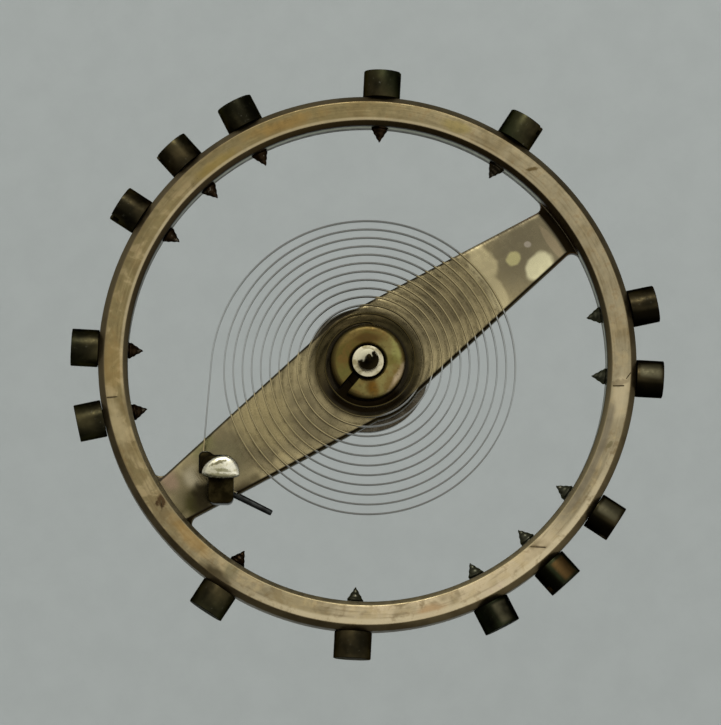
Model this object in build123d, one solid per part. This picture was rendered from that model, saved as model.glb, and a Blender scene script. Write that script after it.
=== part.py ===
from build123d import *
import os
from math import acos, atan2, cos, degrees, hypot, radians, sin, sqrt

# Balance wheel of a pocket watch with its staff, rollers, hairspring and stud, in millimetres.
# The origin is the tip of the lower pivot. +Z runs up the staff, towards the hairspring.
# The arm of the wheel lies along X, and the hairspring's stud stands over its -X half.

# Wheel: rim and arm are one piece of brass
rim_diameter = 17.0
rim_wall = 0.93
rim_height = 1.05
rim_outer_chamfer = 0.18
rim_inner_chamfer = 0.14
wheel_underside = 2.90
arm_thickness = 0.35
arm_width = 3.50
arm_tip_width = 1.45
arm_root_fillet = 0.25
hub_diameter = 3.64

# Balance screws: places at one pitch round half the rim, where x has a screw, as has its opposite
seat_pattern = "xxx.xx..x.x."
first_seat_angle = -98.5
head_diameter = 1.18
head_length = 0.86
slot_width = 0.19
slot_depth = 0.30
slot_turn = 13.0
slot_turn_cycle = 5
thread_diameter = 0.54
thread_reach = 1.40
thread_point = 0.44
thread_clearance = 0.01

# Balance staff
pivot_diameter = 0.14
pivot_length = 0.40
pivot_flare = 0.42
pivot_tip_chamfer = 0.02
lower_journal_diameter = 0.66
staff_flange_diameter = 1.90
staff_flange_thickness = 0.32
flange_cone_end_diameter = 1.00
wheel_seat_diameter = 1.24
rivet_diameter = 1.60
rivet_height = 0.06
arbor_diameter = 1.00
arbor_chamfer = 0.06
arbor_rise = 0.03
upper_journal_diameter = 0.66
upper_journal_length = 0.42
seat_clearance = 0.01

# Double roller under the wheel
roller_drop = 1.05
roller_diameter = 4.00
roller_thickness = 0.35
jewel_radius_from_staff = 1.45
jewel_angle = -90.0
jewel_diameter = 0.38
jewel_flat_share = 0.55
jewel_projection = 0.72
safety_roller_diameter = 1.90
safety_roller_thickness = 0.26
safety_roller_pipe_diameter = 1.10
safety_roller_pipe_length = 0.36
crescent_radius = 0.30
crescent_centre_from_edge = 0.10

# Collet: a split brass ring that grips the staff
collet_diameter = 2.40
collet_height = 0.70
collet_gap = 0.02
collet_bore_clearance = 0.015
collet_bevel = 0.16
collet_bore_chamfer = 0.10
collet_slit = 0.30
collet_slit_angle = 194.0
collet_hole_depth = 0.34

# Hairspring: a flat spiral of steel strip, its inner end pinned in the collet
strip_thickness = 0.045
strip_height = 0.20
strip_rise_over_arm = 0.36
full_turns = 12
coil_start_gap = 0.09
coil_to_rim = 3.06
coil_drift = 0.24
coil_axis_angle = 54.5
inner_bend_radius = 0.25
flare_rise = 0.44
outer_bend_radius = 0.30

# Pins that wedge the strip in its holes: round, with a flat filed on one side
collet_pin_radius = 0.11
stud_pin_radius = 0.12
pin_flat_share = 0.36
pin_clearance = 0.01
stud_pin_tail = 1.34

# Stud: a round-ended post for the balance cock on a foot that is drilled for the strip
stud_offset = 1.28
stud_turn = -35.5
post_length = 1.08
post_width = 0.66
post_height = 0.74
post_chamfer = 0.09
foot_width = 0.80
foot_shift = 0.10
foot_wall = 0.17
foot_back = 0.25
stud_hole_reach = 0.63
stud_hole_turn = -26.5
strip_lead = 0.08

# One overrun serves every cut that runs past a face
overrun = 0.5

# Turns of the geometry, in degrees
half_turn_angle = 180.0
right_angle = 90.0

# Points on each half turn of the strip where the gap between coils is measured
points_per_half_turn = 12

# Heights and radii that follow from the sizes above
rim_radius = rim_diameter / 2
rim_inner_radius = rim_radius - rim_wall
rim_top = wheel_underside + rim_height
arm_top = wheel_underside + arm_thickness
screw_axis_height = wheel_underside + rim_height / 2
roller_top = wheel_underside - roller_drop
rivet_top = arm_top + rivet_height
collet_base = rivet_top + collet_gap
collet_top = collet_base + collet_height
arbor_top = collet_top + arbor_rise
strip_middle = arm_top + strip_rise_over_arm + strip_height / 2
collet_hole_offset = collet_diameter / 2 - collet_hole_depth
coil_inner_radius = collet_diameter / 2 + coil_start_gap
coil_outer_radius = rim_inner_radius - coil_to_rim
flare_radius = coil_outer_radius + flare_rise
near_pitch = (coil_outer_radius - coil_inner_radius) / full_turns
far_pitch = near_pitch + 2 * coil_drift / full_turns


def polar(radius, angle):
    """Point of the plane at a radius and an angle in degrees."""
    return Vector(radius * cos(radians(angle)), radius * sin(radians(angle)))


def turned(points):
    """Solid of revolution about the staff from (radius, height) points."""
    outline = Polyline(*[(radius, 0, height) for radius, height in points], close=True)
    return revolve(make_face(outline), axis=Axis.Z)


def flat_of_pin(radius):
    """Distance from a pin's axis to its filed flat."""
    return radius * pin_flat_share


def strip_shift(radius):
    """Distance from a hole's axis to the middle of the strip beside the pin."""
    return flat_of_pin(radius) + pin_clearance + strip_thickness / 2


def hole_radius(pin_radius):
    """Radius of a hole that holds the pin and the strip side by side."""
    corner = hypot(strip_shift(pin_radius) + strip_thickness / 2, strip_height / 2)
    return max(corner, pin_radius) + pin_clearance


def seat_angles():
    """Angles of the filled screw seats, each with its opposite one."""
    pitch = half_turn_angle / len(seat_pattern)
    filled = [place for place, mark in enumerate(2 * seat_pattern) if mark == "x"]
    return sorted((first_seat_angle + pitch * place) % 360 for place in filled)


def arm_outline():
    """Plan of the arm: two tapering halves, the hub, and the inner part of the rim's floor."""
    tip_radius = rim_inner_radius + rim_wall / 2
    half = arm_width / 2
    tip = arm_tip_width / 2
    corners = [(0, half), (tip_radius, tip), (tip_radius, -tip)]
    corners += [(0, -half), (-tip_radius, -tip), (-tip_radius, tip)]
    plan = Circle(tip_radius) - Circle(rim_inner_radius)
    plan += make_face(Polyline(*corners, close=True))
    plan += Circle(hub_diameter / 2)
    roots = [v for v in plan.vertices() if hub_diameter < hypot(v.X, v.Y) < tip_radius - rim_wall / 4]
    return fillet(roots, arm_root_fillet)


def balance_wheel():
    """Chamfered rim with its tapering arm, bored for the staff and drilled for the screws."""
    rim = turned([
        (rim_inner_radius, wheel_underside),
        (rim_radius, wheel_underside),
        (rim_radius, rim_top - rim_outer_chamfer),
        (rim_radius - rim_outer_chamfer, rim_top),
        (rim_inner_radius + rim_inner_chamfer, rim_top),
        (rim_inner_radius, rim_top - rim_inner_chamfer),
    ])
    wheel = rim + Pos(0, 0, wheel_underside) * extrude(arm_outline(), amount=arm_thickness)
    bore = Cylinder(wheel_seat_diameter / 2 + seat_clearance, arm_thickness + overrun)
    wheel -= Pos(0, 0, wheel_underside + arm_thickness / 2) * bore
    drill = Cylinder(thread_diameter / 2 + thread_clearance, rim_wall + overrun)
    for angle in seat_angles():
        place = Rot(0, 0, angle) * Pos(rim_radius - rim_wall / 2, 0, screw_axis_height)
        wheel -= place * Rot(0, 90, 0) * drill
    return wheel


def screw_blank():
    """Balance screw along +Z: pointed tail below, slotted cylindrical head above."""
    thread = thread_diameter / 2
    head = head_diameter / 2
    blank = turned([
        (0, -thread_reach),
        (thread, thread_point - thread_reach),
        (thread, 0),
        (head, 0),
        (head, head_length),
        (0, head_length),
    ])
    slot = Box(head_diameter + overrun, slot_width, slot_depth + overrun)
    return blank - Pos(0, 0, head_length - slot_depth / 2 + overrun / 2) * slot


def balance_screws():
    """The screws in their seats, each with its slot turned a little from the wheel's plane."""
    blank = screw_blank()
    screws = []
    for number, angle in enumerate(seat_angles()):
        place = Rot(0, 0, angle) * Pos(rim_radius, 0, screw_axis_height) * Rot(0, 90, 0)
        turn = right_angle + slot_turn * (number % slot_turn_cycle - slot_turn_cycle // 2)
        screws.append(place * Rot(0, 0, turn) * blank)
    return screws


def balance_staff():
    """Staff from the lower to the upper pivot, with flared pivots, flange, rivet and collet seat."""
    pivot = pivot_diameter / 2
    lower = lower_journal_diameter / 2
    upper = upper_journal_diameter / 2
    arbor = arbor_diameter / 2
    lower_shoulder = pivot_length + pivot_flare
    upper_shoulder = arbor_top + upper_journal_length
    upper_pivot_base = upper_shoulder + pivot_flare
    staff_top = upper_pivot_base + pivot_length
    lower_flare = TangentArc((pivot, 0, pivot_length), (lower, 0, lower_shoulder), tangent=(0, 0, 1))
    body = Polyline(
        (lower, 0, lower_shoulder),
        (lower, 0, roller_top),
        (flange_cone_end_diameter / 2, 0, roller_top),
        (staff_flange_diameter / 2, 0, wheel_underside - staff_flange_thickness),
        (staff_flange_diameter / 2, 0, wheel_underside),
        (wheel_seat_diameter / 2, 0, wheel_underside),
        (wheel_seat_diameter / 2, 0, arm_top),
        (rivet_diameter / 2, 0, arm_top),
        (rivet_diameter / 2, 0, rivet_top),
        (arbor, 0, rivet_top),
        (arbor, 0, arbor_top - arbor_chamfer),
        (arbor - arbor_chamfer, 0, arbor_top),
        (upper, 0, arbor_top),
        (upper, 0, upper_shoulder),
    )
    upper_flare = TangentArc(
        (pivot, 0, upper_pivot_base), (upper, 0, upper_shoulder), tangent=(0, 0, -1)
    )
    top = Polyline(
        (pivot, 0, upper_pivot_base),
        (pivot, 0, staff_top - pivot_tip_chamfer),
        (pivot - pivot_tip_chamfer, 0, staff_top),
        (0, 0, staff_top),
        (0, 0, 0),
        (pivot - pivot_tip_chamfer, 0, 0),
        (pivot, 0, pivot_tip_chamfer),
        (pivot, 0, pivot_length),
    )
    return revolve(make_face(lower_flare + body + upper_flare + top), axis=Axis.Z)


def jewel_outline(gap):
    """D-shaped section of the impulse jewel, or of its hole where a gap is given."""
    radius = jewel_diameter / 2 + gap
    keep = jewel_diameter / 2 * jewel_flat_share + gap
    window = Pos((keep - radius) / 2, 0) * Rectangle(radius + keep, 2 * radius)
    return Rot(0, 0, jewel_angle) * Pos(jewel_radius_from_staff, 0) * (Circle(radius) & window)


def roller_table():
    """Round table under the wheel, with the D-shaped hole that holds the impulse jewel."""
    radius = roller_diameter / 2
    bore = lower_journal_diameter / 2 + seat_clearance
    floor = roller_top - roller_thickness
    table = turned([
        (bore, floor),
        (radius, floor),
        (radius, roller_top),
        (bore, roller_top),
    ])
    hole = extrude(jewel_outline(seat_clearance), amount=roller_thickness + 2 * overrun)
    return table - Pos(0, 0, floor - overrun) * hole


def impulse_jewel():
    """D-shaped ruby pin that hangs from the roller table."""
    length = roller_thickness + jewel_projection
    return Pos(0, 0, roller_top - length) * extrude(jewel_outline(0), amount=length)


def safety_roller():
    """Small roller under the table, with its pipe and its passing crescent."""
    radius = safety_roller_diameter / 2
    bore = lower_journal_diameter / 2 + seat_clearance
    pipe = safety_roller_pipe_diameter / 2
    pipe_top = roller_top - roller_thickness
    disc_top = pipe_top - safety_roller_pipe_length
    floor = disc_top - safety_roller_thickness
    roller = turned([
        (bore, floor),
        (radius, floor),
        (radius, disc_top),
        (pipe, disc_top),
        (pipe, pipe_top),
        (bore, pipe_top),
    ])
    centre = polar(radius + crescent_centre_from_edge, jewel_angle)
    cut = Cylinder(crescent_radius, safety_roller_thickness + overrun)
    return roller - Pos(centre.X, centre.Y, floor + (safety_roller_thickness - overrun) / 2) * cut


def tail_turn():
    """Turn of the strip between its run through the collet and its first coil, in degrees."""
    run = collet_hole_offset + strip_shift(collet_pin_radius)
    return degrees(acos((run - inner_bend_radius) / (coil_inner_radius - inner_bend_radius)))


def collet():
    """Split ring with a bevelled top edge, slit on one side and drilled across for the strip."""
    radius = collet_diameter / 2
    bore = arbor_diameter / 2 + collet_bore_clearance
    ring = turned([
        (bore, collet_base),
        (radius, collet_base),
        (radius, collet_top - collet_bevel),
        (radius - collet_bevel, collet_top),
        (bore + collet_bore_chamfer, collet_top),
        (bore, collet_top - collet_bore_chamfer),
    ])
    slit = Box(radius + overrun, collet_slit, collet_height + overrun)
    middle = collet_base + collet_height / 2
    ring -= Rot(0, 0, collet_slit_angle) * Pos((radius + overrun) / 2, 0, middle) * slit
    drill = Cylinder(hole_radius(collet_pin_radius), collet_diameter + overrun)
    place = Rot(0, 0, coil_axis_angle - tail_turn()) * Pos(collet_hole_offset, 0, strip_middle)
    return ring - place * Rot(90, 0, 0) * drill


def flat_cut(radius, low, high, side):
    """Cutter for a pin along Y: it leaves a flat on one X side, from a low to a high place along it."""
    face = side * (flat_of_pin(radius) + overrun / 2)
    return Pos(face, (low + high) / 2, 0) * Box(overrun, high - low, 2 * radius + overrun)


def collet_pin():
    """Pin beside the strip in the collet, cut off flush with the collet's wall."""
    reach = sqrt((collet_diameter / 2) ** 2 - (collet_hole_offset + collet_pin_radius) ** 2)
    pin = Rot(90, 0, 0) * Cylinder(collet_pin_radius, 2 * reach)
    pin -= flat_cut(collet_pin_radius, -reach - overrun, reach + overrun, 1)
    place = Rot(0, 0, coil_axis_angle - tail_turn()) * Pos(collet_hole_offset, 0, strip_middle)
    return place * pin


def stud_frame():
    """Place of the stud: its local X runs along the post, and its foot reaches to local -Y."""
    return Pos(-coil_outer_radius - stud_offset, 0) * Rot(0, 0, stud_turn)


def stud_hole_frame():
    """Place of the stud's hole, with local Y along it, the way that the strip runs."""
    middle = stud_frame() * Pos(foot_shift, -stud_hole_reach, strip_middle)
    return middle * Rot(0, 0, stud_hole_turn - right_angle)


def foot_crossing():
    """Length of the stud's hole through the foot."""
    return foot_width / cos(radians(stud_hole_turn))


def stud():
    """Drilled foot under a round-ended post, with a polished bevel round the post's top."""
    height = 2 * (hole_radius(stud_pin_radius) + foot_wall)
    length = stud_hole_reach + hole_radius(stud_pin_radius) + foot_wall + foot_back + foot_width / 4
    middle = foot_back - length / 2
    base = RectangleRounded(foot_width, length, foot_width / 4)
    foot = extrude(Pos(foot_shift, middle) * base, amount=height)
    post = extrude(SlotOverall(post_length, post_width), amount=post_height)
    post = chamfer(post.faces().sort_by(Axis.Z)[-1].edges(), post_chamfer)
    body = stud_frame() * Pos(0, 0, strip_middle - height / 2) * (foot + Pos(0, 0, height) * post)
    drill = Cylinder(hole_radius(stud_pin_radius), foot_crossing() + foot_width + overrun)
    return body - stud_hole_frame() * Rot(90, 0, 0) * drill


def stud_pin():
    """Pin through the stud: flat beside the strip, its round end standing out past the foot."""
    inside = foot_crossing()
    length = inside + stud_pin_tail
    pin = Pos(0, stud_pin_tail / 2, 0) * Rot(90, 0, 0) * Cylinder(stud_pin_radius, length)
    pin -= flat_cut(stud_pin_radius, -inside / 2 - overrun, inside / 2 + 2 * strip_lead, -1)
    return stud_hole_frame() * pin


def strip_segments():
    """Middle line of the strip from the collet to the stud, as runs and left-hand arcs."""
    start = coil_axis_angle
    run_angle = start - tail_turn()
    run = collet_hole_offset + strip_shift(collet_pin_radius)
    heading = run_angle + right_angle
    bend = polar(coil_inner_radius - inner_bend_radius, start)
    bend_start = bend + polar(inner_bend_radius, run_angle)
    inner_end = polar(run, run_angle) - polar(collet_diameter / 4, heading)
    segments = [("run", inner_end, bend_start), ("arc", bend, inner_bend_radius, run_angle, tail_turn())]
    centre = -near_pitch / 4
    radius = coil_inner_radius + near_pitch / 4
    for half_turn in range(2 * full_turns):
        from_angle = start + half_turn_angle * half_turn
        segments.append(("arc", polar(centre, start), radius, from_angle, half_turn_angle))
        far_side = half_turn % 2 == 0
        step = near_pitch / 2 if far_side else far_pitch / 2
        centre += step if far_side else -step
        radius += step
    hole = stud_hole_frame()
    shift = strip_shift(stud_pin_radius)
    entry = (hole * Pos(-shift, -foot_crossing() / 2 - strip_lead, 0)).position
    outer_end = (hole * Pos(-shift, foot_crossing() / 2 + strip_lead, 0)).position
    entry = Vector(entry.X, entry.Y)
    outer_end = Vector(outer_end.X, outer_end.Y)
    into_stud = stud_turn + stud_hole_turn
    flare = polar(coil_outer_radius - flare_radius, start)
    bend = entry + polar(outer_bend_radius, into_stud + right_angle)
    apart = bend - flare
    lead = degrees(acos((flare_radius - outer_bend_radius) / apart.length))
    off = degrees(atan2(apart.Y, apart.X)) - lead
    segments.append(("arc", flare, flare_radius, start, off - start))
    segments.append(("run", flare + polar(flare_radius, off), bend + polar(outer_bend_radius, off)))
    segments.append(("arc", bend, outer_bend_radius, off, (into_stud - right_angle - off) % 360))
    segments.append(("run", entry, outer_end))
    return segments


def segment_edge(segment, side):
    """Edge of one segment, moved to a side: positive is to the right of the way that it runs."""
    if segment[0] == "arc":
        return CenterArc(segment[1], segment[2] + side, segment[3], segment[4])
    way = (segment[2] - segment[1]).normalized()
    sideways = Vector(way.Y, -way.X) * side
    return Line(segment[1] + sideways, segment[2] + sideways)


def hairspring():
    """The whole strip, from the run in the collet to the run in the stud."""
    segments = strip_segments()
    outer = [segment_edge(segment, strip_thickness / 2) for segment in segments]
    inner = [segment_edge(segment, -strip_thickness / 2) for segment in segments]
    ends = [Line(inner[0] @ 0, outer[0] @ 0), Line(outer[-1] @ 1, inner[-1] @ 1)]
    outline = make_face(outer + inner + ends)
    return Pos(0, 0, strip_middle - strip_height / 2) * extrude(outline, amount=strip_height)


def least_gap():
    """Least clear distance between neighbouring coils, measured on points of the middle line."""
    coils = [segment for segment in strip_segments() if segment[0] == "arc"][1:-1]
    steps = range(points_per_half_turn)
    points = [
        centre + polar(radius, start + turn * step / points_per_half_turn)
        for kind, centre, radius, start, turn in coils
        for step in steps
    ]
    least = coil_outer_radius
    for first, point in enumerate(points):
        for other in points[first + points_per_half_turn:first + 4 * points_per_half_turn]:
            least = min(least, (point - other).length)
    return least - strip_thickness


def save(name, solid):
    """Write one piece under its own name."""
    solid.label = name
    export_step(solid, f"parts/{name}.step")


os.makedirs("parts", exist_ok=True)
save("balance_wheel", balance_wheel())
save("balance_staff", balance_staff())
save("roller_table", roller_table())
save("impulse_jewel", impulse_jewel())
save("safety_roller", safety_roller())
for number, screw in enumerate(balance_screws(), start=1):
    save(f"balance_screw_{number:02d}", screw)
save("collet", collet())
save("collet_pin", collet_pin())
save("hairspring", hairspring())
save("stud", stud())
save("stud_pin", stud_pin())
print(f"least gap between coils {least_gap():.3f} mm")
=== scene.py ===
from functools import cached_property, reduce
from math import acos, atan2, cos, degrees, hypot, pi, radians, sin, sqrt

import bpy
import bmesh
import numpy as np
from mathutils import Matrix, Vector


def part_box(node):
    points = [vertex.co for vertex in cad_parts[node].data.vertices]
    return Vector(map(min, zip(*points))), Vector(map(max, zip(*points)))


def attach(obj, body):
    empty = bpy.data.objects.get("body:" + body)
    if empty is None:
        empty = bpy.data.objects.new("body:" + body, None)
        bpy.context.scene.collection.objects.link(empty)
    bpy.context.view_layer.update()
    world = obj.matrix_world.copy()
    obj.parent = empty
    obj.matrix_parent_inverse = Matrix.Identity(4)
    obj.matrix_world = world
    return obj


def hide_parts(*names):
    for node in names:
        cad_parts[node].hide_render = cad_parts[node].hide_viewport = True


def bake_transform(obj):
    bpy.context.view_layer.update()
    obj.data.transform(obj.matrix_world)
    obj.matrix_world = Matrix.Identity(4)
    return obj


# Looks of a pocket watch's balance wheel. Shapes are worked out in millimetres and then scaled to metres.
MM = 0.001

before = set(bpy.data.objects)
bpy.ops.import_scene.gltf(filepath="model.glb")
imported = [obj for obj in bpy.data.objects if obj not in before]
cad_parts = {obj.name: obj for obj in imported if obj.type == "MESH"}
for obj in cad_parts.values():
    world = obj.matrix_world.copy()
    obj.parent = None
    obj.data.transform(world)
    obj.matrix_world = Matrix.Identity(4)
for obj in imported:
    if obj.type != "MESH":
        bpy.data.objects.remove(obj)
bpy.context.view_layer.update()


def spin(angle, axis="Z"):
    """Turn about an axis, in degrees."""
    return Matrix.Rotation(radians(angle), 4, axis)


# Sizes that the pieces share with the frame, in millimetres

rim_radius = 8.5
rim_inner_radius = 7.57
rim_outer_chamfer = 0.18
rim_inner_chamfer = 0.14
arm_width = 3.5
arm_tip_width = 1.45
arm_taper_end = 8.035
arm_thickness = 0.35
arm_root_fillet = 0.25
hub_radius = 1.82
bore_radius = 0.63
seat_pattern = "xxx.xx..x.x."
first_seat_angle = -98.5
slot_turn = 13.0
slot_turn_cycle = 5
head_radius = 0.59
head_length = 0.86
slot_width = 0.19
slot_depth = 0.3
thread_radius = 0.27
thread_reach = 1.4
thread_point = 0.44
thread_clearance = 0.01
pivot_radius = 0.07
pivot_length = 0.4
pivot_flare = 0.42
journal_radius = 0.33
journal_length = 0.42
flange_radius = 0.95
flange_thickness = 0.32
cone_radius = 0.5
rivet_radius = 0.8
rivet_height = 0.06
arbor_radius = 0.5
arbor_rise = 0.03
seat_clearance = 0.01
roller_radius = 2.0
jewel_radius = 0.19
jewel_flat_share = 0.55
jewel_offset = 1.45
safety_radius = 0.95
safety_thickness = 0.26
safety_pipe_radius = 0.55
crescent_radius = 0.3
crescent_offset = 1.05
collet_bore_radius = 0.515
collet_bevel = 0.16
collet_bore_bevel = 0.1
collet_slit = 0.3
collet_slit_angle = 194.0
collet_hole_depth = 0.34
collet_pin_radius = 0.11
strip_thickness = 0.045
full_turns = 12
coil_start_gap = 0.09
coil_outer_radius = 4.51
coil_drift = 0.24
coil_axis_angle = 54.5
inner_bend_radius = 0.25
flare_radius = 4.95
outer_bend_radius = 0.3
strip_lead = 0.08
stud_pin_radius = 0.12
stud_pin_tail = 1.34
pin_flat_share = 0.36
pin_clearance = 0.01
stud_centre = -5.79
stud_turn = -35.5
post_length = 1.08
post_width = 0.66
post_height = 0.74
foot_width = 0.8
foot_shift = 0.1
foot_wall = 0.17
foot_back = 0.25
stud_hole_reach = 0.63
stud_hole_turn = -26.5


def heights(node):
    """Lowest and highest Z of a node of the frame, in millimetres."""
    low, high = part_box(node)
    return low.z / MM, high.z / MM


rim_low, rim_top = heights("balance_wheel")
arm_top = rim_low + arm_thickness
screw_axis = (rim_low + rim_top) / 2
collet_low, collet_top = heights("collet")
strip_low, strip_high = heights("hairspring")
strip_middle = (strip_low + strip_high) / 2
strip_height = strip_high - strip_low
roller_low, roller_top = heights("roller_table")
staff_top = heights("balance_staff")[1]
collet_radius = (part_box("collet")[1].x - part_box("collet")[0].x) / 2 / MM
collet_hole_offset = collet_radius - collet_hole_depth
stud_frame = Matrix.Translation((stud_centre, 0, 0)) @ spin(stud_turn)

# Sizes that only the dressed pieces have, in millimetres and degrees

edge_break = 0.03
overrun = 0.5
sharp_angle = 32.0
thread_pitch = 0.15
thread_depth = 0.035
point_raggedness = 0.02
pivot_tip = [(0, 0), (0.045, 0.003), (0.062, 0.012), (pivot_radius, 0.03)]
collet_shoulder = [(0.04, 0.07), (0.1, 0.02), (0.18, 0)]
lug_corners = [(-0.6, -0.25), (0.0, -0.25), (0.0, 0.24), (-0.26, 0.43), (-0.5, 0.44), (-0.6, 0.34)]
lens_half_length = 0.59
lens_arch = 0.56
lens_belly = 0.145
lens_lean = 0.1
lens_place = Vector((0.09, -0.28, 0))
lens_turn = -1.2
lens_middle = Vector((0.05, 0.19, 0))

# Layers of the stud: drop from its top, with the inset of the post and the lug and the scale of the lens
post_layers = [(post_height + 0.1, 0), (0.24, 0), (0.2, 0.015), (0.17, 0.05)]
lug_layers = [(0.5, 0), (0.26, 0), (0.22, 0.02), (0.2, 0.05)]
lens_layers = [(0.3, 1.0), (0.1, 1.0), (0.07, 0.98), (0.035, 0.9), (0.012, 0.75), (0, 0.45)]

# Creases in the rim's face: X, Y, turn, half length and depth
rim_creases = [
    (6.0, -5.2, -35, 0.18, 0.02),
    (6.45, -5.12, 18, 0.13, 0.015),
    (0.95, -7.87, -39, 0.24, 0.015),
    (-7.23, 3.73, 150, 0.16, 0.015),
    (-7.9, 0.08, 60, 0.12, 0.015),
]

# Sides that the finishes and the painted light and shade differ by, in degrees
worn_and_lit_side = 254.5
tarnished_and_shaded_side = 114.5
mottled_side = 215.0
shade_and_highlight_side = 84.5
dull_side = -60.0
lit_side = 54.5
# side towards which the collet's painted shadow falls
collet_shadow_side = -126.0
belt_side = 10.0
bevel_reflection_side = 240.0
pale_side_of_collet = -62.0
dark_heads_side = -35.5
sheen_heads_side = -74.0
brown_head_side = -83.5


# Mesh tools

def polar(radius, angle, height=0):
    """Point at a radius, an angle in degrees and a height."""
    return Vector((radius * cos(radians(angle)), radius * sin(radians(angle)), height))


def direction(side, elevation):
    """Unit vector towards a side and an elevation, in degrees."""
    return polar(cos(radians(elevation)), side, sin(radians(elevation)))


def soften(corners, radius, closed=True):
    """Outline with rounded corners. An open one keeps its ends."""
    points = []
    steps = 3
    for index, corner in enumerate(corners):
        here = Vector(corner)
        if not closed and index in (0, len(corners) - 1):
            points.append(tuple(here))
            continue
        before = Vector(corners[index - 1]) - here
        after = Vector(corners[(index + 1) % len(corners)]) - here
        cut = min(radius, before.length * 0.45, after.length * 0.45)
        first, last = here + before.normalized() * cut, here + after.normalized() * cut
        for share in (step / steps for step in range(steps + 1)):
            spot = first * (1 - share) ** 2 + here * 2 * share * (1 - share) + last * share ** 2
            points.append(tuple(spot))
    return points


def arc(centre, radius, start, turn, steps):
    """Points along an arc, in degrees, both ends included."""
    angles = [radians(start + turn * k / steps) for k in range(steps + 1)]
    return [(centre[0] + radius * cos(angle), centre[1] + radius * sin(angle)) for angle in angles]


def inset(outline, distance):
    """Counter-clockwise outline, moved inwards along its normals."""
    moved = []
    for index, corner in enumerate(outline):
        here = Vector(corner)
        before = (here - Vector(outline[index - 1])).normalized()
        after = (Vector(outline[(index + 1) % len(outline)]) - here).normalized()
        along = (before + after).normalized()
        half = before.dot(along)
        moved.append((here.x - along.y * distance / half, here.y + along.x * distance / half))
    return moved


def add_ring(points, radius, height, segments):
    """Add a ring round Z, or a point on it, to the points, and give its point numbers."""
    start = len(points)
    if radius < 1e-6:
        points.append((0, 0, height))
        return [start] * segments
    turns = [2 * pi * k / segments for k in range(segments)]
    points += [(radius * cos(turn), radius * sin(turn), height) for turn in turns]
    return list(range(start, start + segments))


def bands(rings):
    """Faces between neighbouring rings of point numbers."""
    faces = []
    for low, high in zip(rings, rings[1:]):
        for k, after in enumerate([*range(1, len(low)), 0]):
            face = list(dict.fromkeys([low[k], low[after], high[after], high[k]]))
            if len(face) > 2:
                faces.append(face)
    return faces


def link(thing):
    """Put an object in the scene."""
    bpy.context.scene.collection.objects.link(thing)
    return thing


def new_object(name, points, faces):
    """Object with its faces turned outwards."""
    mesh = bpy.data.meshes.new(name)
    mesh.from_pydata([tuple(point) for point in points], [], faces)
    work = bmesh.new()
    work.from_mesh(mesh)
    bmesh.ops.recalc_face_normals(work, faces=work.faces)
    work.to_mesh(mesh)
    work.free()
    return link(bpy.data.objects.new(name, mesh))


def lathe(name, profile, segments, closed=True):
    """Solid about Z from (radius, height) points. An open profile ends on the axis."""
    points = []
    rings = [add_ring(points, radius, height, segments) for radius, height in profile]
    return new_object(name, points, bands(rings + rings[:1] if closed else rings))


def loft(name, sections):
    """Closed solid through sections of equal count."""
    count = len(sections[0])
    points = [point for section in sections for point in section]
    rings = [list(range(start, start + count)) for start in range(0, len(points), count)]
    return new_object(name, points, bands(rings) + [rings[0][::-1], rings[-1]])


def stack(name, shapes):
    """Solid through (height, outline) shapes."""
    return loft(name, [[(x, y, height) for x, y in shape] for height, shape in shapes])


def plate(name, outline, layers):
    """Solid from one outline, with (height, inset) layers."""
    return stack(name, [(height, inset(outline, gap) if gap else outline) for height, gap in layers])


def broken_edges(low, high):
    """Layers of a plate with rounded edges."""
    steps = [(0, edge_break), (edge_break / 3, edge_break / 3), (edge_break, 0)]
    return [(low + rise, gap) for rise, gap in steps] + [(high - rise, gap) for rise, gap in steps[::-1]]


def tube(name, start, end, radius, segments=48):
    """Round cutter from one point to another."""
    start, end = Vector(start), Vector(end)
    length = (end - start).length
    thing = lathe(name, [(0, 0), (radius, 0), (radius, length), (0, length)], segments, closed=False)
    turn = (end - start).normalized().to_track_quat("Z", "Y").to_matrix().to_4x4()
    thing.data.transform(Matrix.Translation(start) @ turn)
    return thing


def block(name, centre, size, turn=Matrix.Identity(4)):
    """Box cutter, turned about its centre."""
    signs = [(x, y, z) for z in (-1, 1) for y in (-1, 1) for x in (-1, 1)]
    points = [[sign * length / 2 for sign, length in zip(corner, size)] for corner in signs]
    faces = [[0, 2, 3, 1], [4, 5, 7, 6], [0, 1, 5, 4], [2, 6, 7, 3], [0, 4, 6, 2], [1, 3, 7, 5]]
    thing = new_object(name, points, faces)
    thing.data.transform(Matrix.Translation(centre) @ turn)
    return thing


def carve(target, tools, operation="DIFFERENCE", solver="EXACT"):
    """Cut tools out of the target, or join them to it, and remove the tools."""
    for tool in tools:
        modifier = target.modifiers.new("carve", "BOOLEAN")
        modifier.operation = operation
        modifier.solver = solver
        modifier.object = tool
    graph = bpy.context.evaluated_depsgraph_get()
    mesh = bpy.data.meshes.new_from_object(target.evaluated_get(graph))
    target.modifiers.clear()
    target.data = mesh
    for tool in tools:
        bpy.data.objects.remove(tool)
    return target


def settle(thing, body, slot, *nodes):
    """Scale a piece to metres, tie it to its body and its finish, and hide the nodes it stands in for."""
    thing.data.transform(Matrix.Scale(MM, 4))
    thing.data.materials.clear()
    thing.data.materials.append(finishes[slot])
    thing.data.shade_smooth()
    thing.data.set_sharp_from_angle(angle=radians(sharp_angle))
    if body:
        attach(thing, body)
    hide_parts(*nodes)
    return thing


# Material tools

def colour(red, green, blue):
    """Linear colour of an 8-bit screen colour."""
    parts = [value / 255 for value in (red, green, blue)]
    return (*[v / 12.92 if v <= 0.04045 else ((v + 0.055) / 1.055) ** 2.4 for v in parts], 1)


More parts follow.
